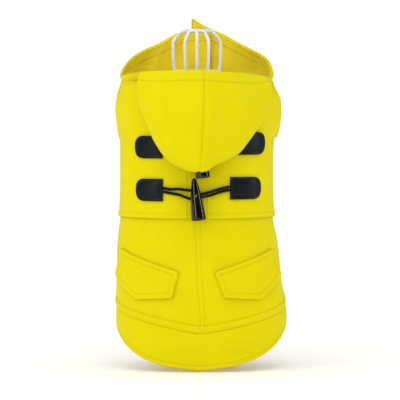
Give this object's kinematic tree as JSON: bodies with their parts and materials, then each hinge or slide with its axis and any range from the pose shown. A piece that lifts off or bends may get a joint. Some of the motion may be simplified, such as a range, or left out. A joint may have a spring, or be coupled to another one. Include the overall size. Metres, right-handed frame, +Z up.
{
  "type": "dog jacket on a wire dress form",
  "caption": "Hooded toggle rain jacket for a small dog, open at neck, hem and front legs, worn on a limbless wire dress form that stands on a flat ring.",
  "frame": {"origin": "centre of the whole part's box in x and y, at the height of the surface that the base ring stands on", "axes": "+Z up, from the hem to the neck; -Y is the garment's back, with the hood, yoke, toggles and pocket flaps, which the picture shows; +Y is the dog's chest and belly, where the leg sleeves point; +X is the dog's right-hand side, right in the picture"},
  "size_m": [0.1751, 0.1986, 0.3565],
  "materials": {
    "yellow_cloth": "smooth coated rain cloth, low sheen",
    "black_leather": "smooth, low sheen",
    "black_cord": "braided, matte",
    "black_horn": "polished",
    "white_wire": "white coated steel wire, satin"
  },
  "bodies": {
    "root": {"back_left": "yellow_cloth", "back_right": "yellow_cloth", "belly_left": "yellow_cloth", "belly_right": "yellow_cloth", "hem_band": "yellow_cloth", "yoke_left": "yellow_cloth", "yoke_right": "yellow_cloth", "yoke_placket": "yellow_cloth", "pocket_flap_left": "yellow_cloth", "pocket_flap_right": "yellow_cloth", "hood_left": "yellow_cloth", "hood_right": "yellow_cloth", "sleeve_left": "yellow_cloth", "sleeve_right": "yellow_cloth", "tab_lower_left": "black_leather", "tab_lower_right": "black_leather", "tab_upper_left": "black_leather", "tab_upper_right": "black_leather", "loop_lower": "black_cord", "loop_upper": "black_cord", "tether_lower_1": "black_cord", "tether_lower_2": "black_cord", "tether_upper_1": "black_cord", "tether_upper_2": "black_cord", "toggle_lower": "black_horn", "toggle_upper": "black_horn", "form_wire_1": "white_wire", "form_wire_2": "white_wire", "form_wire_3": "white_wire", "form_wire_4": "white_wire", "form_wire_5": "white_wire", "form_wire_6": "white_wire", "form_wire_7": "white_wire", "form_wire_8": "white_wire", "form_chest_hoop": "white_wire", "form_waist_hoop": "white_wire", "form_hip_hoop": "white_wire", "form_neck_hoop": "white_wire", "form_crown": "white_wire", "form_base": "white_wire"}
  },
  "joints": []
}
